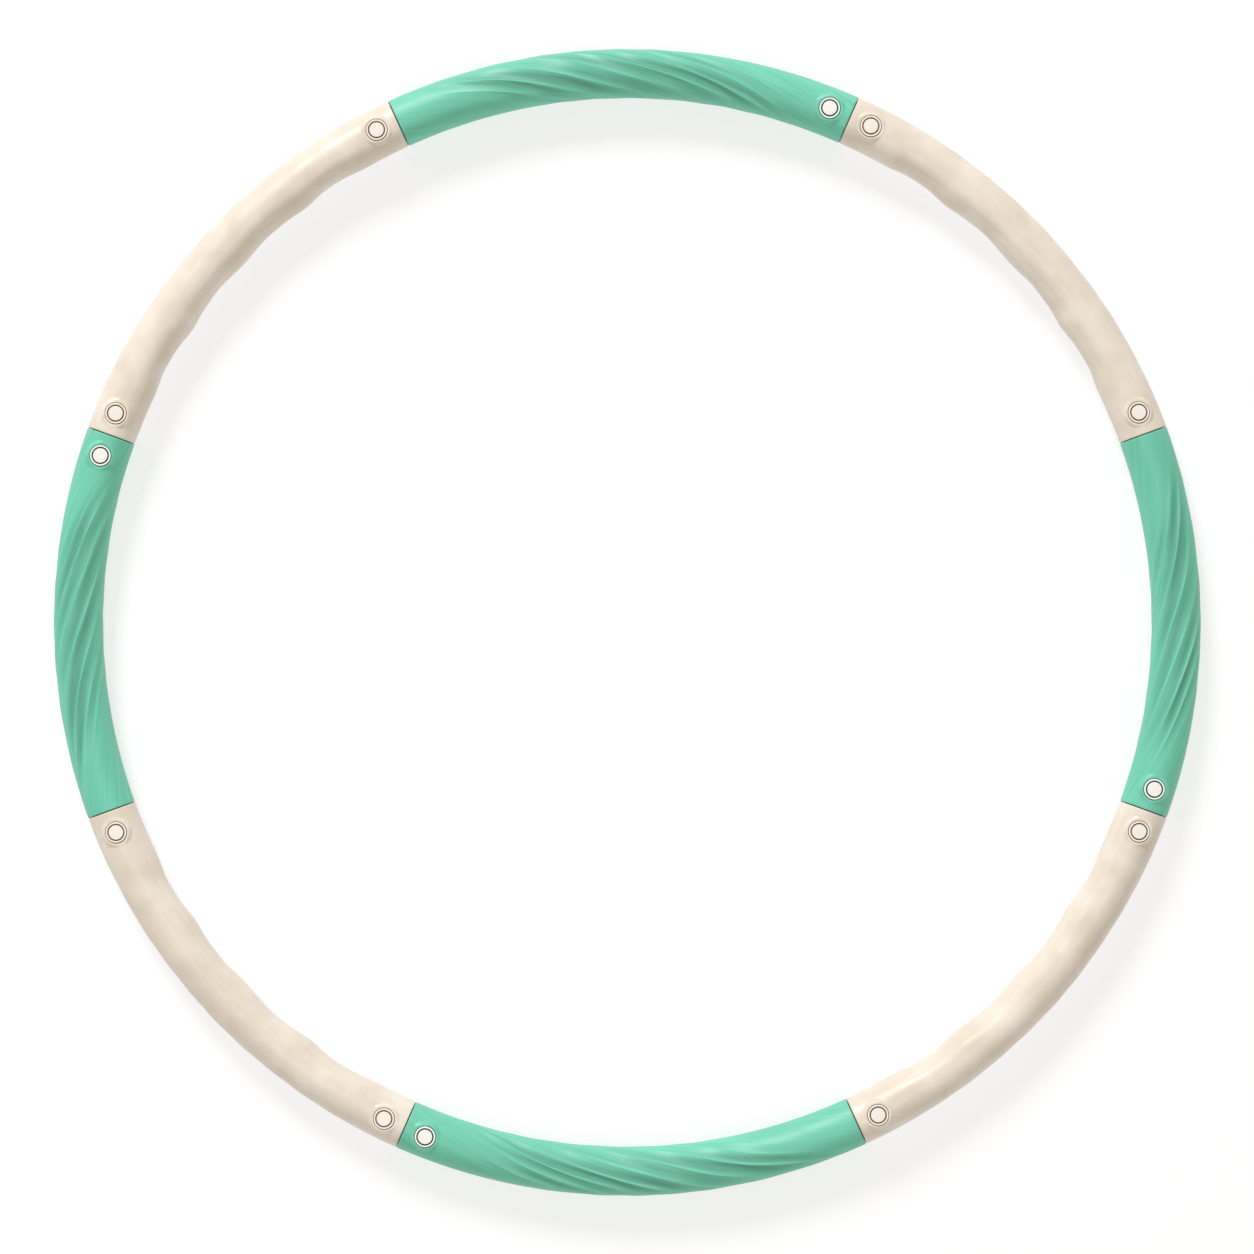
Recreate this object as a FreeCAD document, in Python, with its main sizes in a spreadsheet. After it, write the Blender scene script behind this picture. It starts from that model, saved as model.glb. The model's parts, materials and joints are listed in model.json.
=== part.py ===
# Sectional rhythmic hoop, in millimetres.
#
# The hoop lies flat: its axis is +Z, the push buttons face +Z, and the origin is the
# hoop's centre on the surface it rests on.  Four green and four cream tube sections
# alternate clockwise (seen from +Z), starting with green 1, whose middle is near +Y.
#
#   green i  -- double coupler i, two buttons -->  cream i
#   cream i  -- fixed spigot i + 1, one button -->  green i + 1
#
# A station is a place on the ring.  Its local frame has the ring's centre at the origin,
# the tube's axis crossing (ring_radius, 0), and +Y pointing counter-clockwise.

import FreeCAD
import Part
import Sketcher
import math
import os

from FreeCAD import Placement, Rotation, Vector

Z_AXIS = Vector(0, 0, 1)
X_AXIS = Vector(1, 0, 0)

DIMENSIONS = {
    # the ring
    "hoop_diameter": 950.0,
    "tube_diameter": 40.6,
    "wall": 3.0,
    # clockwise bearings, from +Y, of the four joints that follow green 1;
    # the other four are diametrically opposite, so opposite joints pull apart in parallel
    "bearing_green_1_end": 23.8,
    "bearing_cream_1_end": 70.0,
    "bearing_green_2_end": 109.9,
    "bearing_cream_2_end": 155.35,
    # sockets and couplers
    "coupler_half_length": 28.0,
    "coupler_radius": 16.5,
    "coupler_wall": 2.8,
    "coupler_lead_in": 0.8,
    "running_gap": 0.2,
    "bond_gap": 0.05,
    "rib_radius": 19.6,
    "rib_thickness": 0.6,
    "end_trim": 0.4,
    "socket_end_gap": 0.6,
    # buttons: distance from the joint, then radii and heights above the tube's axis
    "button_offset": 18.5,
    "boss_radius": 10.8,
    "boss_root": 11.0,
    "boss_top": 20.7,
    "counterbore_radius": 8.6,
    "counterbore_floor": 18.3,
    "guide_hole_radius": 3.4,
    "cap_radius": 5.95,
    "cap_top": 21.6,
    "cap_flange_radius": 7.65,
    "cap_flange_bottom": 19.95,
    "cap_flange_top": 20.5,
    "cap_nose_radius": 3.1,
    "cap_nose_bottom": 18.15,
    "edge_bevel": 0.3,
    "bezel_radius": 8.5,
    "bezel_lip_radius": 7.15,
    "bezel_lip_bottom": 20.6,
    "bezel_skirt_radius": 7.95,
    "bezel_top": 21.3,
    # spring clip
    "clip_strip": 0.7,
    "clip_width": 8.0,
    "clip_bend": 4.0,
    "clip_bend_height": 1.6,
    "clip_knee": 13.5,
    "clip_tip": 24.0,
    "clip_leg_top": 12.9,
    "pin_radius": 3.1,
    "pin_top": 18.0,
    "pin_hole_radius": 3.3,
}

doc = FreeCAD.newDocument("sectional_hoop")
sheet = doc.addObject("Spreadsheet::Sheet", "Sizes")
for row, (alias, value) in enumerate(DIMENSIONS.items(), start=1):
    sheet.set(f"A{row}", alias)
    sheet.set(f"B{row}", str(value))
    sheet.setAlias(f"B{row}", alias)
doc.recompute()


def size(alias):
    """A driving dimension, read from the sheet."""
    return float(sheet.get(alias))


tube_radius = size("tube_diameter") / 2
ring_radius = size("hoop_diameter") / 2 - tube_radius
axis_height = tube_radius
RING = "(Sizes.hoop_diameter / 2 - Sizes.tube_diameter / 2)"


# ---------------------------------------------------------------- placing things

def station(bearing, along=0.0):
    """Frame on the tube's axis at a clockwise bearing: X outward, Y counter-clockwise, Z up.

    along moves it counter-clockwise along the straight tangent of that bearing."""
    turn = Placement(Vector(), Rotation(Z_AXIS, 90.0 - bearing))
    return turn * Placement(Vector(ring_radius, along, axis_height), Rotation())


def tangent_station(bearing, clockwise=False):
    """Station frame turned so that its X runs along the tube, one way or the other."""
    return station(bearing) * Placement(Vector(), Rotation(Z_AXIS, -90.0 if clockwise else 90.0))


# ---------------------------------------------------------------- sketch features

def new_body(label):
    body = doc.addObject("PartDesign::Body", label)
    body.Label = label
    return body


def new_sketch(body, name, plane_role, lift=None):
    """Sketch on one of the body's origin planes, lifted along its normal by an expression."""
    sketch = body.newObject("Sketcher::SketchObject", name)
    plane = next(item for item in body.Origin.OriginFeatures if item.Role == plane_role)
    sketch.AttachmentSupport = [(plane, "")]
    sketch.MapMode = "FlatFace"
    if lift:
        sketch.setExpression("AttachmentOffset.Base.z", lift)
    return sketch


def evaluate(expression):
    """Value of an expression in the sheet's dimensions."""
    return float(sheet.evalExpression(expression.replace("Sizes.", "")))


def add_outline(sketch, corners):
    """Closed outline whose corners are pairs of expressions, each bound to the sheet."""
    points = [Vector(evaluate(across), evaluate(up), 0) for across, up in corners]
    count = len(points)
    for index in range(count):
        sketch.addGeometry(Part.LineSegment(points[index], points[(index + 1) % count]), False)
    for index in range(count):
        sketch.addConstraint(Sketcher.Constraint("Coincident", index, 2, (index + 1) % count, 1))
    for index, (across, up) in enumerate(corners):
        for kind, expression, value in (("DistanceX", across, points[index].x),
                                        ("DistanceY", up, points[index].y)):
            number = sketch.addConstraint(Sketcher.Constraint(kind, -1, 1, index, 1, value))
            sketch.setExpression(f"Constraints[{number}]", expression)


def add_circle(sketch, across, radius):
    """Circle centred on the sketch's X axis, at an expression, with a bound radius."""
    centre = Vector(evaluate(across), 0, 0)
    circle = sketch.addGeometry(Part.Circle(centre, Vector(0, 0, 1), evaluate(radius)), False)
    sketch.addConstraint(Sketcher.Constraint("PointOnObject", circle, 3, -1))
    number = sketch.addConstraint(Sketcher.Constraint("DistanceX", -1, 1, circle, 3, centre.x))
    sketch.setExpression(f"Constraints[{number}]", across)
    number = sketch.addConstraint(Sketcher.Constraint("Radius", circle, evaluate(radius)))
    sketch.setExpression(f"Constraints[{number}]", radius)


def revolve(body, name, sketch, axis):
    """Full turn of a sketch about one of its own axes, "H_Axis" or "V_Axis"."""
    turned = body.newObject("PartDesign::Revolution", name)
    turned.Profile = sketch
    turned.ReferenceAxis = (sketch, [axis])
    turned.Angle = 360.0
    return turned


# ---------------------------------------------------------------- tube sections

def primitive(kind, name, placement, **expressions):
    """Part primitive whose sizes are bound to the sheet."""
    solid = doc.addObject(kind, name)
    for prop, expression in expressions.items():
        solid.setExpression(prop, expression)
    solid.Placement = placement
    return solid


def upright_cylinder(name, frame, radius, bottom, top):
    """Cylinder along Z between two heights above the tube's axis."""
    placement = frame * Placement(Vector(0, 0, evaluate(bottom)), Rotation())
    return primitive("Part::Cylinder", name, placement, Radius=radius, Height=f"{top} - {bottom}")


def build_section(label, first_bearing, last_bearing, button_ends):
    """Hollow tube from one joint to the next, clockwise, with a straight socket in each end.

    button_ends holds "first" and/or "last": the ends that carry a push button."""
    span = last_bearing - first_bearing
    trim_angle = math.degrees(size("end_trim") / (ring_radius - tube_radius))
    socket_angle = math.degrees(size("coupler_half_length") / ring_radius)

    def sector(name, radius, inset):
        turned = Placement(Vector(0, 0, axis_height), Rotation(Z_AXIS, inset))
        solid = primitive("Part::Torus", f"{label}_{name}", turned, Radius1=RING, Radius2=radius)
        solid.Angle3 = span - 2 * inset
        return solid

    solids = [sector("skin", "Sizes.tube_diameter / 2", trim_angle)]
    hollows = [sector("hollow", "Sizes.tube_diameter / 2 - Sizes.wall", socket_angle)]

    # local angle 0 is the clockwise ("last") end, and local angle span the other one
    for end, angle, inward in (("last", 0.0, 1), ("first", span, -1)):
        turn = Placement(Vector(), Rotation(Z_AXIS, angle))
        mouth = turn * Placement(Vector(ring_radius, 0, axis_height), Rotation(X_AXIS, -90.0 * inward))
        hollows.append(primitive(
            "Part::Cylinder", f"{label}_{end}_socket", mouth,
            Radius="Sizes.coupler_radius + Sizes.running_gap",
            Height="Sizes.coupler_half_length + Sizes.socket_end_gap"))
        if end in button_ends:
            place = Vector(ring_radius, inward * size("button_offset"), axis_height)
            frame = turn * Placement(place, Rotation())
            tag = f"{label}_{end}"
            solids.append(upright_cylinder(f"{tag}_boss", frame, "Sizes.boss_radius",
                                           "Sizes.boss_root", "Sizes.boss_top"))
            hollows.append(upright_cylinder(f"{tag}_counterbore", frame, "Sizes.counterbore_radius",
                                            "Sizes.counterbore_floor", "Sizes.cap_top"))
            hollows.append(upright_cylinder(f"{tag}_guide", frame, "Sizes.guide_hole_radius",
                                            "Sizes.boss_root", "Sizes.cap_top"))

    outside = doc.addObject("Part::MultiFuse", f"{label}_outside")
    outside.Shapes = solids
    inside = doc.addObject("Part::MultiFuse", f"{label}_inside")
    inside.Shapes = hollows
    section = doc.addObject("Part::Cut", label)
    section.Base = outside
    section.Tool = inside
    section.Label = label
    section.Placement = Placement(Vector(), Rotation(Z_AXIS, 90.0 - last_bearing))
    return section


# ---------------------------------------------------------------- couplers and spigots

HALF = "Sizes.coupler_half_length"
OUTER = "Sizes.coupler_radius"
BONDED = "(Sizes.coupler_radius + Sizes.running_gap - Sizes.bond_gap)"
INNER = "(Sizes.coupler_radius - Sizes.coupler_wall)"
LEAD = "Sizes.coupler_lead_in"
RIB = "Sizes.rib_thickness / 2"


def build_sleeve(label, placement, first_radius, holes):
    """Sleeve with a stop rib round its middle; X is its axis.

    first_radius is the outer radius of its half on the -X side, and holes lists the sides
    (+1 or -1) that have a hole for a locking pin."""
    body = new_body(label)
    profile = new_sketch(body, f"{label}_profile", "XY_Plane")
    add_outline(profile, [
        (f"-{HALF}", INNER),
        (f"-{HALF}", f"{first_radius} - {LEAD}"),
        (f"-{HALF} + {LEAD}", first_radius),
        (f"-{RIB}", first_radius),
        (f"-{RIB}", "Sizes.rib_radius"),
        (RIB, "Sizes.rib_radius"),
        (RIB, OUTER),
        (f"{HALF} - {LEAD}", OUTER),
        (HALF, f"{OUTER} - {LEAD}"),
        (HALF, INNER),
    ])
    revolve(body, f"{label}_sleeve", profile, "H_Axis")
    doc.recompute()
    for side in holes:
        suffix = "far" if side > 0 else "near"
        mark = new_sketch(body, f"{label}_{suffix}_mark", "XY_Plane")
        add_circle(mark, f"{side} * Sizes.button_offset", "Sizes.pin_hole_radius")
        before = body.Shape.Volume
        hole = body.newObject("PartDesign::Pocket", f"{label}_{suffix}_hole")
        hole.Profile = mark
        hole.Reversed = True
        hole.setExpression("Length", "Sizes.rib_radius")
        doc.recompute()
        if not before - body.Shape.Volume > 1.0:
            raise ValueError(f"{label}: the pin hole cuts nothing")
    body.Placement = placement
    return body


# ---------------------------------------------------------------- buttons

def build_ring_piece(label, placement, corners):
    """Turned piece: corners are (radius, height above the tube's axis)."""
    body = new_body(label)
    profile = new_sketch(body, f"{label}_profile", "XZ_Plane")
    add_outline(profile, corners)
    revolve(body, f"{label}_turned", profile, "V_Axis")
    body.Placement = placement
    return body


def build_cap(label, placement):
    """Push cap: a disc on a captive flange, with a nose that pushes the locking pin in."""
    return build_ring_piece(label, placement, [
        ("0", "Sizes.cap_nose_bottom"),
        ("Sizes.cap_nose_radius", "Sizes.cap_nose_bottom"),
        ("Sizes.cap_nose_radius", "Sizes.cap_flange_bottom"),
        ("Sizes.cap_flange_radius", "Sizes.cap_flange_bottom"),
        ("Sizes.cap_flange_radius", "Sizes.cap_flange_top"),
        ("Sizes.cap_radius", "Sizes.cap_flange_top"),
        ("Sizes.cap_radius", "Sizes.cap_top - Sizes.edge_bevel"),
        ("Sizes.cap_radius - Sizes.edge_bevel", "Sizes.cap_top"),
        ("0", "Sizes.cap_top"),
    ])


def build_bezel(label, placement):
    """Bezel ring, pressed into the counterbore; its lip keeps the cap in."""
    return build_ring_piece(label, placement, [
        ("Sizes.bezel_skirt_radius", "Sizes.counterbore_floor + Sizes.bond_gap"),
        ("Sizes.bezel_radius", "Sizes.counterbore_floor + Sizes.bond_gap"),
        ("Sizes.bezel_radius", "Sizes.bezel_top - Sizes.edge_bevel"),
        ("Sizes.bezel_radius - Sizes.edge_bevel", "Sizes.bezel_top"),
        ("Sizes.bezel_lip_radius + Sizes.edge_bevel", "Sizes.bezel_top"),
        ("Sizes.bezel_lip_radius", "Sizes.bezel_top - Sizes.edge_bevel"),
        ("Sizes.bezel_lip_radius", "Sizes.bezel_lip_bottom"),
        ("Sizes.bezel_skirt_radius", "Sizes.bezel_lip_bottom"),
    ])


def build_clip(label, placement):
    """V-spring bent from strip, with a locking pin on its upper leg; X runs from the joint."""
    body = new_body(label)
    strip = "Sizes.clip_strip"
    outer = [
        ("Sizes.clip_bend", "Sizes.clip_bend_height"),
        ("Sizes.clip_knee", "Sizes.clip_leg_top"),
        ("Sizes.clip_tip", "Sizes.clip_leg_top"),
    ]
    inner = [
        ("Sizes.clip_tip", f"Sizes.clip_leg_top - {strip}"),
        (f"Sizes.clip_knee + {strip} / 2", f"Sizes.clip_leg_top - {strip}"),
        (f"Sizes.clip_bend + {strip}", f"Sizes.clip_bend_height - {strip} / 2"),
    ]
    upper = outer + inner
    lower = [(across, f"-({up})") for across, up in reversed(upper)]
    side_view = new_sketch(body, f"{label}_side_view", "XZ_Plane")
    add_outline(side_view, upper + lower)
    legs = body.newObject("PartDesign::Pad", f"{label}_legs")
    legs.Profile = side_view
    legs.SideType = "Symmetric"
    legs.setExpression("Length", "Sizes.clip_width")
    doc.recompute()
    seat = f"Sizes.clip_leg_top - {strip}"
    mark = new_sketch(body, f"{label}_pin_mark", "XY_Plane", lift=seat)
    add_circle(mark, "Sizes.button_offset", "Sizes.pin_radius")
    pin = body.newObject("PartDesign::Pad", f"{label}_pin")
    pin.Profile = mark
    pin.setExpression("Length", f"Sizes.pin_top - ({seat})")
    body.Placement = placement
    return body


def build_button(name, bearing, toward_clockwise):
    """Cap and bezel in a section, and the clip that locks it, beside the joint at a bearing."""
    offset = size("button_offset") * (-1 if toward_clockwise else 1)
    frame = station(bearing, along=offset)
    return [
        build_cap(f"button_cap_{name}", frame),
        build_bezel(f"button_bezel_{name}", frame),
        build_clip(f"spring_clip_{name}", tangent_station(bearing, clockwise=toward_clockwise)),
    ]


# ---------------------------------------------------------------- the hoop

half_ring = [size(f"bearing_{name}_end") for name in ("green_1", "cream_1", "green_2", "cream_2")]
bearings = half_ring + [bearing + 180.0 for bearing in half_ring]

pieces = []
for i in range(1, 5):
    green_end = bearings[2 * i - 2]
    cream_end = bearings[2 * i - 1]
    green_start = bearings[2 * i - 3] if i > 1 else bearings[-1] - 360.0
    pieces.append(build_section(f"green_section_{i}", green_start, green_end, ["last"]))
    pieces.append(build_section(f"cream_section_{i}", green_end, cream_end, ["first", "last"]))
    # a fixed spigot is bonded in the green section, and its far half enters the cream one before it
    pieces.append(build_sleeve(f"fixed_spigot_{i}", tangent_station(green_start), BONDED, [1]))
    pieces.append(build_sleeve(f"double_coupler_{i}", tangent_station(green_end), OUTER, [-1, 1]))
    pieces += build_button(f"green_{i}", green_end, toward_clockwise=False)
    pieces += build_button(f"cream_{i}a", green_end, toward_clockwise=True)
    pieces += build_button(f"cream_{i}b", cream_end, toward_clockwise=False)

doc.recompute()

# ---------------------------------------------------------------- test and write

for item in doc.Objects:
    if {"Invalid", "Error"} & set(item.State):
        raise ValueError(f"{item.Label} failed: {item.State}")
for piece in pieces:
    if piece.Shape.isNull() or not piece.Shape.isValid() or len(piece.Shape.Solids) != 1:
        raise ValueError(f"{piece.Label} is not one valid solid")

os.makedirs("parts", exist_ok=True)
for piece in pieces:
    piece.Shape.exportStep(f"parts/{piece.Label}.step")
print(f"{len(pieces)} pieces written")
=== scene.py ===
"""Looks of the sectional rhythmic hoop: section skins, buttons, materials, floor, lights, camera.

Everything is in metres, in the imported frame: the hoop lies on z = 0 with its axis along +Z.
A bearing is an angle clockwise from +Y, seen from above.
"""

import json
import math

import bmesh
import bpy
import numpy as np
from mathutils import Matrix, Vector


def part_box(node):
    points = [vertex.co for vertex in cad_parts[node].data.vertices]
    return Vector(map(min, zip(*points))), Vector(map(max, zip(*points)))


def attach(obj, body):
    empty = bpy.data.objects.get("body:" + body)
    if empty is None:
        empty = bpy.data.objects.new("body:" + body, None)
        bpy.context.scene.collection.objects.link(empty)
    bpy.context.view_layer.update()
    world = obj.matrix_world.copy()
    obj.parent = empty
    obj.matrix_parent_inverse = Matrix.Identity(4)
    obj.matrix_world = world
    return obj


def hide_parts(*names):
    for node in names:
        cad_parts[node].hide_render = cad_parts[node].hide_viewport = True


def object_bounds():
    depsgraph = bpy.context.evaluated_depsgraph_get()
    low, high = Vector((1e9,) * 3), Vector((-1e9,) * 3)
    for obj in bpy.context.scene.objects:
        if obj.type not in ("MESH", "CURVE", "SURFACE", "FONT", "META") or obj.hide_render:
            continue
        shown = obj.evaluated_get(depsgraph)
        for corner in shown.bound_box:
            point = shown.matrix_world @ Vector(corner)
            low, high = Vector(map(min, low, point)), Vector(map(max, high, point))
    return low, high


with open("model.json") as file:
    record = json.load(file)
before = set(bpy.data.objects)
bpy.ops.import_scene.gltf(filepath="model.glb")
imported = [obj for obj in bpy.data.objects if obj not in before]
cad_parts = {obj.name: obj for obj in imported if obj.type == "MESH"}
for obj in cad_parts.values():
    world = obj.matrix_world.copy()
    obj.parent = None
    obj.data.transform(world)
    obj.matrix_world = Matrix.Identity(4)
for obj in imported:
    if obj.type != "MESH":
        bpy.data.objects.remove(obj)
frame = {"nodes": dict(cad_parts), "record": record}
cad_box = [list(map(float, corner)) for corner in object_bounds()]

# ---------------------------------------------------------------- sizes, from the frame

TUBE_RADIUS = 0.0203
RING_RADIUS = (cad_box[1][0] - cad_box[0][0]) / 2 - TUBE_RADIUS
AXIS_HEIGHT = TUBE_RADIUS

END_TRIM = 0.0004          # each skin stops this much short of its joint
END_ROUND = 0.0008         # radius of a section's outer rim
SLIVER = 0.000005          # points of a cut skin closer than this become one
SOCKET_RADIUS = 0.0167
SOCKET_DEPTH = 0.0286
SOCKET_CHAMFER = 0.0006
SOCKET_STEP = 0.0004       # length over which the socket widens to the hollow
HOLLOW_RADIUS = 0.0173
COLUMN_STEP = 0.0014       # spacing of a skin's points along the section
MIDDLE_CLEARANCE = 0.0004  # the least distance to the point in the section's middle
BUTTON_STEP = 0.00055      # the same beside a button
BUTTON_REACH = 0.0165      # how far from a button the close spacing goes

BUTTON_OFFSET = 0.0185
BOSS_TOP = 0.0207
BOSS_RADIUS = 0.0098       # flat top of the swelling round a button
BOSS_FOOT = 0.0132         # where the swelling meets the tube
LIP_DROP = 0.00035         # how far the swelling dips towards the groove
LIP_WIDTH = 0.0020
WELL_RADIUS = 0.00862
WELL_FLOOR = 0.0183
GROOVE_RADIUS = 0.0091
GROOVE_DEPTH = 0.0014
GUIDE_RADIUS = 0.0034
CUTTER_BOTTOM = 0.008
CUTTER_TOP = 0.026

RIDGES = 12
RIDGE_PITCH = 0.430
RIDGE_DEPTH = 0.0022
POINTS_PER_RIDGE = 20
CREAM_POINTS_AROUND = 200
WAVE_LENGTH = 0.072
WAVE_DEPTH = 0.0021
CREASE_DEPTH = 0.0005
SWELL_DEPTH = 0.00055

rng = np.random.default_rng(7)


def bearing_of(joint_name):
    """Bearing of the joint whose pull runs along the clockwise tangent there."""
    joint = next(j for j in frame["record"]["behaviour"]["joints"] if j["name"] == joint_name)
    return math.atan2(-joint["axis"][1], joint["axis"][0]) % (2 * math.pi)


green_ends = [bearing_of(f"coupler_{i}_pull") for i in range(1, 5)]
cream_ends = [bearing_of(f"green_{i}_pull") for i in range(2, 5)]
cream_ends.append(cream_ends[1] + math.pi)


# ---------------------------------------------------------------- mesh helpers

def smoothstep(low, high, value):
    x = np.clip((value - low) / (high - low), 0.0, 1.0)
    return x * x * (3 - 2 * x)


def make_object(name, points, faces, material, sharp_degrees=40):
    mesh = bpy.data.meshes.new(name)
    mesh.from_pydata([tuple(p) for p in points], [], faces)
    mesh.validate()
    mesh.shade_smooth()
    mesh.set_sharp_from_angle(angle=math.radians(sharp_degrees))
    mesh.materials.append(material)
    obj = bpy.data.objects.new(name, mesh)
    bpy.context.scene.collection.objects.link(obj)
    return obj


def lathe(profile, centre, steps=96):
    """Points and faces of a closed turned solid.

    The profile lists (radius, height) corners, going up the outside. Corners with radius 0 close
    the solid on its axis."""
    points = []
    faces = []
    rings = []
    for radius, height in profile:
        if radius == 0:
            rings.append([len(points)])
            points.append((centre[0], centre[1], centre[2] + height))
            continue
        rings.append(list(range(len(points), len(points) + steps)))
        for k in range(steps):
            angle = 2 * math.pi * k / steps
            points.append((centre[0] + radius * math.cos(angle),
                           centre[1] + radius * math.sin(angle), centre[2] + height))
    closed = len(rings[0]) > 1
    pairs = list(zip(rings, rings[1:] + rings[:1])) if closed else list(zip(rings, rings[1:]))
    for lower, upper in pairs:
        for k in range(steps):
            after = (k + 1) % steps
            if len(lower) == 1:
                faces.append((lower[0], upper[after], upper[k]))
            elif len(upper) == 1:
                faces.append((lower[k], lower[after], upper[0]))
            else:
                faces.append((lower[k], lower[after], upper[after], upper[k]))
    return points, faces


def rounded(corners, radius, steps=5):
    """Profile with an arc of the given radius at each corner that isn't on the axis."""
    outline = []
    count = len(corners)
    for index, corner in enumerate(corners):
        here = np.array(corner)
        if corner[0] == 0:
            outline.append(tuple(corner))
            continue
        before = np.array(corners[index - 1]) - here
        after = np.array(corners[(index + 1) % count]) - here
        reach = min(radius, 0.45 * np.linalg.norm(before), 0.45 * np.linalg.norm(after))
        start = here + before / np.linalg.norm(before) * reach
        end = here + after / np.linalg.norm(after) * reach
        for k in range(steps + 1):
            f = k / steps
            outline.append(tuple((1 - f) ** 2 * start + 2 * f * (1 - f) * here + f * f * end))
    return outline


# ---------------------------------------------------------------- materials

EDGE_HIGHLIGHT_SHARE = 0.3         # how far high edges go towards their painted highlight tone
STREAK_AND_FLUTE_SHADE_TONE = 0.64         # colour of the streaks and of the painted shade in the flutes, as a share of the shade colour


def new_material(name):
    material = bpy.data.materials.new(name)
    material.use_nodes = True
    return material, material.node_tree.nodes, material.node_tree.links


def moulded_plastic(name, colour, shade, roughness, blotch, grain, gloss=0.45, streaks=0.0):
    """Moulded plastic: slow tone drift, fine grain in the bump, and painted highlight on high
    edges.

    blotch and grain are the scales of the drift and of the grain. streaks is how strong the tone
    lines are that follow a section's "flow" attribute; a section with streaks also gets painted
    shade, darker where its "flute" attribute says that it is hollowed."""
    material, nodes, links = new_material(name)
    shader = nodes["Principled BSDF"]
    shader.inputs["Specular IOR Level"].default_value = gloss
    place = nodes.new("ShaderNodeTexCoord")

    drift = nodes.new("ShaderNodeTexNoise")
    drift.inputs["Scale"].default_value = blotch
    drift.inputs["Detail"].default_value = 3.0
    drift.inputs["Roughness"].default_value = 0.55
    links.new(place.outputs["Object"], drift.inputs["Vector"])
    tone = nodes.new("ShaderNodeValToRGB")
    tone.color_ramp.elements[0].position = 0.30
    tone.color_ramp.elements[0].color = (*shade, 1)
    tone.color_ramp.elements[1].position = 0.72
    tone.color_ramp.elements[1].color = (*colour, 1)
    links.new(drift.outputs["Fac"], tone.inputs["Fac"])

    # Painted highlight: high edges and crests are lightened in the colour, standing in for the
    # light they catch.
    edges = nodes.new("ShaderNodeNewGeometry")
    edge_highlight = nodes.new("ShaderNodeMapRange")
    edge_highlight.inputs["From Min"].default_value = 0.52
    edge_highlight.inputs["From Max"].default_value = 0.62
    edge_highlight.inputs["To Max"].default_value = EDGE_HIGHLIGHT_SHARE
    links.new(edges.outputs["Pointiness"], edge_highlight.inputs["Value"])
    highlit_edges = nodes.new("ShaderNodeMix")
    highlit_edges.data_type = "RGBA"
    highlight_colour = [min(1.0, c * 1.25 + 0.04) for c in colour]
    highlit_edges.inputs["B"].default_value = (*highlight_colour, 1)
    links.new(edge_highlight.outputs["Result"], highlit_edges.inputs["Factor"])
    links.new(tone.outputs["Color"], highlit_edges.inputs["A"])
    body_colour = highlit_edges.outputs["Result"]
    if streaks:
        flow = nodes.new("ShaderNodeAttribute")
        flow.attribute_name = "flow"
        lines = nodes.new("ShaderNodeTexNoise")
        lines.inputs["Scale"].default_value = 1.0
        lines.inputs["Detail"].default_value = 4.0
        lines.inputs["Roughness"].default_value = 0.6
        links.new(flow.outputs["Vector"], lines.inputs["Vector"])
        strength = nodes.new("ShaderNodeMapRange")
        strength.inputs["From Min"].default_value = 0.30
        strength.inputs["From Max"].default_value = 0.70
        strength.inputs["To Max"].default_value = streaks
        links.new(lines.outputs["Fac"], strength.inputs["Value"])
        # Painted shade: the flutes between the ridges are darkened in the colour, standing in for
        # the shade in these hollows; the streaks mixed in are the plastic's own tone lines.
        flute = nodes.new("ShaderNodeAttribute")
        flute.attribute_name = "flute"
        streaks_and_flute_shade = nodes.new("ShaderNodeMath")
        streaks_and_flute_shade.operation = "MULTIPLY_ADD"
        streaks_and_flute_shade.use_clamp = True
        streaks_and_flute_shade.inputs[1].default_value = 1.0
        links.new(flute.outputs["Fac"], streaks_and_flute_shade.inputs[0])
        links.new(strength.outputs["Result"], streaks_and_flute_shade.inputs[2])
        streaked_and_shaded = nodes.new("ShaderNodeMix")
        streaked_and_shaded.data_type = "RGBA"
        streaked_and_shaded.inputs["B"].default_value = (*[c * STREAK_AND_FLUTE_SHADE_TONE for c in shade], 1)
        links.new(streaks_and_flute_shade.outputs["Value"], streaked_and_shaded.inputs["Factor"])
        links.new(body_colour, streaked_and_shaded.inputs["A"])
        body_colour = streaked_and_shaded.outputs["Result"]
    links.new(body_colour, shader.inputs["Base Color"])

    polish = nodes.new("ShaderNodeTexNoise")
    polish.inputs["Scale"].default_value = 55.0
    polish.inputs["Detail"].default_value = 4.0
    links.new(place.outputs["Object"], polish.inputs["Vector"])
    sheen = nodes.new("ShaderNodeMapRange")
    sheen.inputs["To Min"].default_value = roughness - 0.07
    sheen.inputs["To Max"].default_value = roughness + 0.09
    links.new(polish.outputs["Fac"], sheen.inputs["Value"])
    links.new(sheen.outputs["Result"], shader.inputs["Roughness"])

    fine = nodes.new("ShaderNodeTexNoise")
    fine.inputs["Scale"].default_value = grain
    fine.inputs["Detail"].default_value = 2.0
    links.new(place.outputs["Object"], fine.inputs["Vector"])
    bump = nodes.new("ShaderNodeBump")
    bump.inputs["Strength"].default_value = 0.12
    bump.inputs["Distance"].default_value = 0.0003
    links.new(fine.outputs["Fac"], bump.inputs["Height"])
    links.new(bump.outputs["Normal"], shader.inputs["Normal"])
    return material


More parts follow.
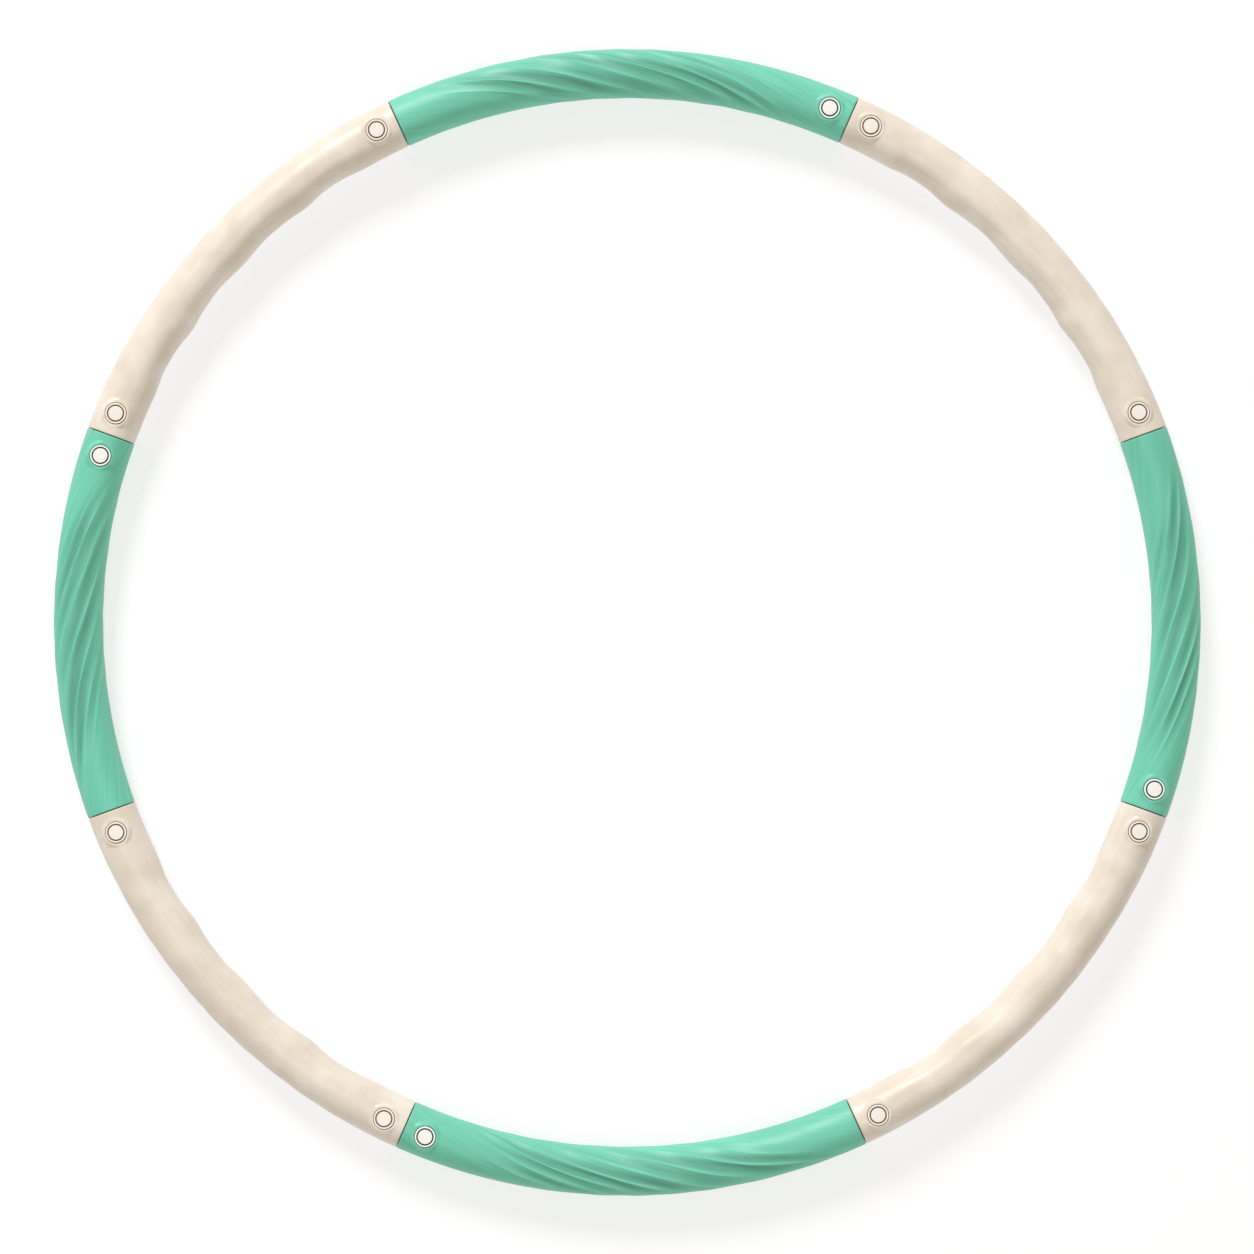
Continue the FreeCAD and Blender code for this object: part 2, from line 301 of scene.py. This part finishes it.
def spring_steel(name):
    material, nodes, links = new_material(name)
    shader = nodes["Principled BSDF"]
    shader.inputs["Metallic"].default_value = 1.0
    place = nodes.new("ShaderNodeTexCoord")
    stretch = nodes.new("ShaderNodeMapping")
    stretch.inputs["Scale"].default_value = (900, 900, 60)
    links.new(place.outputs["Object"], stretch.inputs["Vector"])
    lines = nodes.new("ShaderNodeTexNoise")
    lines.inputs["Scale"].default_value = 1.0
    links.new(stretch.outputs["Vector"], lines.inputs["Vector"])
    tone = nodes.new("ShaderNodeValToRGB")
    tone.color_ramp.elements[0].color = (0.42, 0.42, 0.43, 1)
    tone.color_ramp.elements[1].color = (0.68, 0.68, 0.67, 1)
    links.new(lines.outputs["Fac"], tone.inputs["Fac"])
    links.new(tone.outputs["Color"], shader.inputs["Base Color"])
    rough = nodes.new("ShaderNodeMapRange")
    rough.inputs["To Min"].default_value = 0.25
    rough.inputs["To Max"].default_value = 0.5
    links.new(lines.outputs["Fac"], rough.inputs["Value"])
    links.new(rough.outputs["Result"], shader.inputs["Roughness"])
    bump = nodes.new("ShaderNodeBump")
    bump.inputs["Strength"].default_value = 0.15
    bump.inputs["Distance"].default_value = 0.0001
    links.new(lines.outputs["Fac"], bump.inputs["Height"])
    links.new(bump.outputs["Normal"], shader.inputs["Normal"])
    return material


mint = moulded_plastic(
    "mint plastic", colour=(0.172, 0.680, 0.500), shade=(0.140, 0.585, 0.425),
    roughness=0.50, blotch=9.0, grain=2600.0, gloss=0.75, streaks=0.40)
cream = moulded_plastic(
    "cream plastic", colour=(0.862, 0.796, 0.716), shade=(0.740, 0.652, 0.550),
    roughness=0.33, blotch=30.0, grain=2600.0, gloss=0.42, streaks=0.12)
cap_white = moulded_plastic(
    "cap white", colour=(0.940, 0.930, 0.895), shade=(0.910, 0.895, 0.855),
    roughness=0.38, blotch=60.0, grain=3200.0)
cap_cream = moulded_plastic(
    "cap cream", colour=(0.910, 0.880, 0.835), shade=(0.880, 0.845, 0.795),
    roughness=0.38, blotch=60.0, grain=3200.0)
ring_white = moulded_plastic(
    "bezel white", colour=(0.955, 0.985, 0.975), shade=(0.930, 0.965, 0.950),
    roughness=0.32, blotch=60.0, grain=3200.0)
ring_ivory = moulded_plastic(
    "bezel ivory", colour=(0.960, 0.920, 0.835), shade=(0.930, 0.880, 0.780),
    roughness=0.34, blotch=60.0, grain=3200.0)
# Painted shade: dark tones for the gap round each cap and for each button's well and groove,
# standing in for the shadow there.
teal_painted_shade = moulded_plastic(
    "teal painted gap shade", colour=(0.020, 0.110, 0.078), shade=(0.014, 0.085, 0.060),
    roughness=0.6, blotch=60.0, grain=3200.0, gloss=0.1)
brown_painted_shade = moulded_plastic(
    "brown painted gap shade", colour=(0.300, 0.180, 0.090), shade=(0.250, 0.145, 0.070),
    roughness=0.6, blotch=60.0, grain=3200.0, gloss=0.1)
coupler_grey = moulded_plastic(
    "coupler plastic", colour=(0.030, 0.034, 0.030), shade=(0.022, 0.025, 0.022),
    roughness=0.5, blotch=30.0, grain=2200.0)
steel = spring_steel("spring steel")


# ---------------------------------------------------------------- tube sections

def skin_columns(length, button_places):
    """Places along a section's first half: close together at its end and beside its button."""
    places = list(END_ROUND * (1 - np.cos(np.linspace(0, math.pi / 2, 6))))
    u = places[-1]
    while u < length / 2:
        distance = min(abs(u - b) for b in button_places)
        u += BUTTON_STEP if distance < BUTTON_REACH else COLUMN_STEP
        places.append(u)
    return [p for p in places if p < length / 2 - MIDDLE_CLEARANCE]


def ridge_steps():
    """Places round the tube from one crest to the next, as fractions: closest at the crests."""
    even = np.arange(POINTS_PER_RIDGE * RIDGES) / POINTS_PER_RIDGE
    return even - 0.55 * np.sin(2 * math.pi * even) / (2 * math.pi)


def ridge_angle(u, step):
    """Angle round the tube of a ridge step; the ridges twist and waver a little."""
    plain = 2 * math.pi * step / RIDGES + 2 * math.pi * u / RIDGE_PITCH
    waver_round = 0.10 * np.sin(2 * math.pi * step * 2 / RIDGES + 1.3)
    waver_along = 0.05 * np.sin(2 * math.pi * u / 0.19 + plain)
    return plain + (waver_round + waver_along)


def ridge_depth(u, length, angle, step):
    """How deep the flutes between the crests of a green section are below the plain tube.

    They start later and end later on the inner side, as the ridges' own slant does."""
    across = (1 - np.cos(angle)) / 2
    start = u - 0.24 * length * across
    end = u - 0.16 * length * across
    fade = smoothstep(-0.01 * length, 0.15 * length, start)
    fade = fade * (1 - smoothstep(0.62 * length, 0.80 * length, end))
    from_crest = (np.abs((step % 1) - 0.5) * 2) ** 2
    flute = (1 - from_crest) ** 0.85
    rim = 0.15 + 0.85 * np.sin(angle) ** 2
    uneven = 0.78 + 0.22 * np.sin(2 * math.pi * step * 5 / RIDGES + 7 * u / length)
    return RIDGE_DEPTH * fade * rim * uneven * flute


def wave_depth(u, length, angle, shift):
    """How deep the waves on the inner side of a cream section are below the plain tube."""
    angle = angle % (2 * math.pi)
    inner = np.clip(-np.cos(angle), 0, 1) ** 1.6
    fade = smoothstep(0.030, 0.075, u) * (1 - smoothstep(length - 0.075, length - 0.030, u))
    travel = 2 * math.pi * (u - length / 2) / WAVE_LENGTH + shift
    wave = 0.5 - 0.5 * np.cos(travel + 0.35 * np.sin(travel))
    from_crease = np.abs(np.abs(angle - math.pi) - math.radians(50))
    crease = np.exp(-(from_crease / math.radians(7.5)) ** 2) * (0.35 + 0.65 * wave)
    long_swell = np.sin(2 * math.pi * u / 0.083 + 2 * angle + shift)
    short_swell = np.sin(2 * math.pi * u / 0.047 - angle + 2 * shift)
    swell = SWELL_DEPTH * fade * (0.5 + 0.5 * long_swell * short_swell)
    return WAVE_DEPTH * fade * inner * wave + CREASE_DEPTH * fade * crease + swell


def add_flow(skin, first_bearing, twist):
    """Adds a section's "flow" and "flute" attributes.

    Flow is slow along the section, fast round it, and turns with the twist. Flute says how far
    a point is below the plain tube, as a share of the ridges' depth."""
    mesh = skin.data
    places = np.empty(3 * len(mesh.vertices))
    mesh.vertices.foreach_get("co", places)
    x, y, z = places.reshape(-1, 3).T
    along = ((np.arctan2(x, y) - first_bearing) % (2 * math.pi)) * RING_RADIUS
    around = np.arctan2(z - AXIS_HEIGHT, np.hypot(x, y) - RING_RADIUS) - along * twist
    flow = np.stack([along * 14, 9 * np.cos(around), 9 * np.sin(around)], axis=-1)
    mesh.attributes.new("flow", "FLOAT_VECTOR", "POINT").data.foreach_set("vector", flow.ravel())
    depth = TUBE_RADIUS - np.hypot(z - AXIS_HEIGHT, np.hypot(x, y) - RING_RADIUS)
    # Flute drives the painted shade that the material puts in the flutes.
    flute = smoothstep(0.0, 1.0, depth / RIDGE_DEPTH) if twist else np.zeros(len(x))
    mesh.attributes.new("flute", "FLOAT", "POINT").data.foreach_set("value", flute)


def build_skin(name, first_bearing, last_bearing, green, buttons, material, groove_painted_shade, shift):
    """Closed hollow section with end radii, straight sockets, boss, and button well."""
    centre_length = RING_RADIUS * (last_bearing - first_bearing)
    length = centre_length - 2 * END_TRIM
    button_places = (BUTTON_OFFSET, centre_length - BUTTON_OFFSET)
    half = skin_columns(length, [b - END_TRIM for b in button_places])
    columns = np.array(half + [length / 2] + [length - u for u in reversed(half)])
    steps = ridge_steps() if green else np.arange(CREAM_POINTS_AROUND)
    around = len(steps)
    u, step = np.meshgrid(columns, steps, indexing="ij")
    if green:
        angle = ridge_angle(u, step)
        depth = ridge_depth(u, length, angle, step)
    else:
        angle = 2 * math.pi * step / around
        depth = wave_depth(u, length, angle, shift)
    from_end = np.minimum(u, length - u)
    rounding = np.clip(END_ROUND - from_end, 0, END_ROUND)
    depth = depth + END_ROUND - np.sqrt(np.maximum(END_ROUND ** 2 - rounding ** 2, 0))
    radius = TUBE_RADIUS - depth

    bearing = first_bearing + (u + END_TRIM) / RING_RADIUS
    out = RING_RADIUS + radius * np.cos(angle)
    height = radius * np.sin(angle)
    x = out * np.sin(bearing)
    y = out * np.cos(bearing)
    for bx, by in buttons:
        distance = np.hypot(x - bx, y - by)
        on_top = np.sin(angle) > 0
        rise = 1 - smoothstep(BOSS_RADIUS, BOSS_FOOT, distance)
        lip = LIP_DROP * (1 - smoothstep(GROOVE_RADIUS, GROOVE_RADIUS + LIP_WIDTH, distance))
        height = np.where(on_top, height + (BOSS_TOP - height) * rise - lip * rise, height)
    outer = np.stack([x, y, height + AXIS_HEIGHT], axis=-1)

    socket_end = SOCKET_DEPTH - END_TRIM
    near = [0.0, SOCKET_CHAMFER, 0.010, 0.020, socket_end, socket_end + SOCKET_STEP]
    near += list(np.linspace(SOCKET_DEPTH + 0.006, length / 2, 9))
    inner_columns = np.array(near + [length - v for v in reversed(near[:-1])])
    v, step = np.meshgrid(inner_columns, steps, indexing="ij")
    angle = ridge_angle(v, step) if green else 2 * math.pi * step / around
    from_end = np.minimum(v, length - v)
    in_socket = from_end < socket_end + SOCKET_STEP / 2
    bore = np.where(in_socket, SOCKET_RADIUS, HOLLOW_RADIUS)
    bore = bore + np.clip(SOCKET_CHAMFER - from_end, 0, 1)
    straight = np.where(in_socket, (from_end + END_TRIM) ** 2 / (2 * RING_RADIUS), 0)
    bearing = first_bearing + (v + END_TRIM) / RING_RADIUS
    out = RING_RADIUS + straight + bore * np.cos(angle)
    inside = np.stack([out * np.sin(bearing), out * np.cos(bearing),
                       bore * np.sin(angle) + AXIS_HEIGHT], axis=-1)

    points = np.concatenate([outer.reshape(-1, 3), inside.reshape(-1, 3)])
    outer_count = len(columns)
    inner_count = len(inner_columns)
    base = outer_count * around
    faces = []
    for c in range(outer_count - 1):
        for k in range(around):
            after = (k + 1) % around
            low = c * around
            faces.append((low + k, low + after, low + around + after, low + around + k))
    for c in range(inner_count - 1):
        for k in range(around):
            after = (k + 1) % around
            low = base + c * around
            faces.append((low + k, low + around + k, low + around + after, low + after))
    last = (outer_count - 1) * around
    inner_last = base + (inner_count - 1) * around
    for k in range(around):
        after = (k + 1) % around
        faces.append((k, base + k, base + after, after))
        faces.append((last + k, last + after, inner_last + after, inner_last + k))
    skin = make_object(name, points, faces, material)

    for number, (bx, by) in enumerate(buttons):
        cut_well(skin, (bx, by, AXIS_HEIGHT), f"{name}_well_{number}", groove_painted_shade)
    add_flow(skin, first_bearing, 2 * math.pi / RIDGE_PITCH if green else 0.0)
    skin.data.shade_smooth()
    skin.data.set_sharp_from_angle(angle=math.radians(38))
    return skin


def cut_well(skin, centre, name, groove_painted_shade):
    """Cuts a button's stepped well, with the groove round its rim, out of a section; the cut faces
    get painted shade.
    """
    groove_floor = BOSS_TOP - GROOVE_DEPTH
    profile = [
        (0, CUTTER_BOTTOM), (GUIDE_RADIUS, CUTTER_BOTTOM),
        (GUIDE_RADIUS, WELL_FLOOR), (WELL_RADIUS, WELL_FLOOR),
        (WELL_RADIUS, groove_floor), (GROOVE_RADIUS, groove_floor + 0.0003),
        (GROOVE_RADIUS, CUTTER_TOP), (0, CUTTER_TOP),
    ]
    points, faces = lathe(profile, centre)
    # The cutter carries painted shade; the cut faces of the well and groove take it over.
    cutter = make_object(name, points, faces, groove_painted_shade)
    cut = skin.modifiers.new("well", "BOOLEAN")
    cut.operation = "DIFFERENCE"
    cut.solver = "EXACT"
    cut.object = cutter
    cut.material_mode = "TRANSFER"
    bpy.context.view_layer.update()
    evaluated = skin.evaluated_get(bpy.context.evaluated_depsgraph_get())
    result = bpy.data.meshes.new_from_object(evaluated)
    skin.modifiers.remove(cut)
    merged = bmesh.new()
    merged.from_mesh(result)
    bmesh.ops.remove_doubles(merged, verts=merged.verts, dist=SLIVER)
    merged.to_mesh(result)
    merged.free()
    skin.data = result
    bpy.data.objects.remove(cutter, do_unlink=True)


def centre_of(node):
    low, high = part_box(node)
    return (low[0] + high[0]) / 2, (low[1] + high[1]) / 2


for i in range(1, 5):
    green_end = green_ends[i - 1]
    green_start = cream_ends[i - 2] - (2 * math.pi if cream_ends[i - 2] > green_end else 0)
    cream_end = cream_ends[i - 1] + (2 * math.pi if cream_ends[i - 1] < green_end else 0)
    skin = build_skin(f"green_skin_{i}", green_start, green_end, True,
                      [centre_of(f"button_cap_green_{i}")], mint, teal_painted_shade, 0.0)
    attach(skin, f"green_{i}")
    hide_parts(f"green_section_{i}")
    skin = build_skin(f"cream_skin_{i}", green_end, cream_end, False,
                      [centre_of(f"button_cap_cream_{i}a"), centre_of(f"button_cap_cream_{i}b")],
                      cream, brown_painted_shade, rng.uniform(-0.5, 0.5))
    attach(skin, f"cream_{i}")
    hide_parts(f"cream_section_{i}")


# ---------------------------------------------------------------- buttons

# (radius, height above the tube's axis)
CAP_PROFILE = [
    (0, 0.01815), (0.0031, 0.01815), (0.0031, 0.01995), (0.00765, 0.01995),
    (0.00765, 0.0205), (0.00595, 0.0205), (0.00595, 0.02155), (0, 0.0216),
]
BEZEL_PROFILE = [
    (0.00795, 0.01835), (0.0085, 0.01835), (0.0085, 0.0213),
    (0.00715, 0.0213), (0.00715, 0.0206), (0.00795, 0.0206),
]
EDGE_ROUND = 0.0003
# Inside these gaps the faces get painted shade, a dark tone that stands in for the shadow down the
# gap round each cap.
CAP_GAP = (0.0059, 0.0077)         # radii between which a cap's faces get the painted gap shade
BEZEL_GAP = (0.0070, 0.00725)
SHADE_HEIGHT = AXIS_HEIGHT + 0.0212


def paint_gap_shade(piece, centre, gap, material):
    """Gives a button piece's faces inside the ring-shaped gap a painted shade for the gap's shadow.
    """
    lowest_radius, highest_radius = gap
    piece.data.materials.append(material)
    for face in piece.data.polygons:
        radius = math.hypot(face.center[0] - centre[0], face.center[1] - centre[1])
        if lowest_radius < radius < highest_radius and face.center[2] < SHADE_HEIGHT:
            face.material_index = 1


def build_button(name, section_body, cap_material, bezel_material, gap_painted_shade):
    """Cap on the button's own body, and the bezel ring on its section's body."""
    x, y = centre_of(f"button_cap_{name}")
    points, faces = lathe(rounded(CAP_PROFILE, EDGE_ROUND), (x, y, AXIS_HEIGHT))
    cap = make_object(f"cap_{name}", points, faces, cap_material)
    paint_gap_shade(cap, (x, y), CAP_GAP, gap_painted_shade)
    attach(cap, f"button_{name}")
    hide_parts(f"button_cap_{name}")
    points, faces = lathe(rounded(BEZEL_PROFILE, EDGE_ROUND), (x, y, AXIS_HEIGHT))
    bezel = make_object(f"bezel_{name}", points, faces, bezel_material)
    paint_gap_shade(bezel, (x, y), BEZEL_GAP, gap_painted_shade)
    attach(bezel, section_body)
    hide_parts(f"button_bezel_{name}")


for i in range(1, 5):
    build_button(f"green_{i}", f"green_{i}", cap_white, ring_white, teal_painted_shade)
    for end in "ab":
        build_button(f"cream_{i}{end}", f"cream_{i}", cap_cream, ring_ivory,
                     brown_painted_shade)

for name, node in frame["nodes"].items():
    if name.startswith(("fixed_spigot", "double_coupler")):
        node.data.materials.clear()
        node.data.materials.append(coupler_grey)
    if name.startswith("spring_clip"):
        node.data.materials.clear()
        node.data.materials.append(steel)


# ---------------------------------------------------------------- floor, lights, camera

def build_floor():
    size = 30.0
    corners = [(-size, -size, 0), (size, -size, 0), (size, size, 0), (-size, size, 0)]
    material, nodes, links = new_material("floor")
    shader = nodes["Principled BSDF"]
    shader.inputs["Roughness"].default_value = 0.9
    shader.inputs["Specular IOR Level"].default_value = 0.1
    shader.inputs["Base Color"].default_value = (0.36, 0.36, 0.37, 1)
    shader.inputs["Emission Color"].default_value = (1, 1, 1, 1)
    shader.inputs["Emission Strength"].default_value = 0.66
    floor = make_object("floor", corners, [(0, 1, 2, 3)], material)


def area_light(name, position, size, power, colour=(1, 1, 1)):
    light = bpy.data.lights.new(name, "AREA")
    light.shape = "DISK"
    light.size = size
    light.energy = power
    light.color = colour
    lamp = bpy.data.objects.new(name, light)
    lamp.location = position
    direction = np.array(position, dtype=float)
    lamp.rotation_euler = (math.acos(direction[2] / np.linalg.norm(direction)), 0,
                           math.atan2(direction[1], direction[0]) + math.pi / 2)
    bpy.context.scene.collection.objects.link(lamp)


def build_camera():
    """Camera straight above the hoop, whose picture is 1039 mm wide at the tube's axis."""
    distance = 3.2
    picture_width = 1.0390
    data = bpy.data.cameras.new("camera")
    data.sensor_width = 36.0
    data.lens = 36.0 * distance / picture_width
    camera = bpy.data.objects.new("camera", data)
    camera.location = (-0.0003, -0.0038, AXIS_HEIGHT + distance)
    bpy.context.scene.collection.objects.link(camera)
    bpy.context.scene.camera = camera


build_floor()
area_light("key", (-3.5, 9.2, 6.9), 3.4, 1030)
area_light("overhead", (0.0, -1.2, 4.0), 2.0, 32)
world = bpy.data.worlds.new("world")
world.use_nodes = True
world.node_tree.nodes["Background"].inputs["Color"].default_value = (1.0, 0.93, 0.83, 1)
world.node_tree.nodes["Background"].inputs["Strength"].default_value = 0.45
bpy.context.scene.world = world
bpy.context.scene.view_settings.view_transform = "Standard"
build_camera()
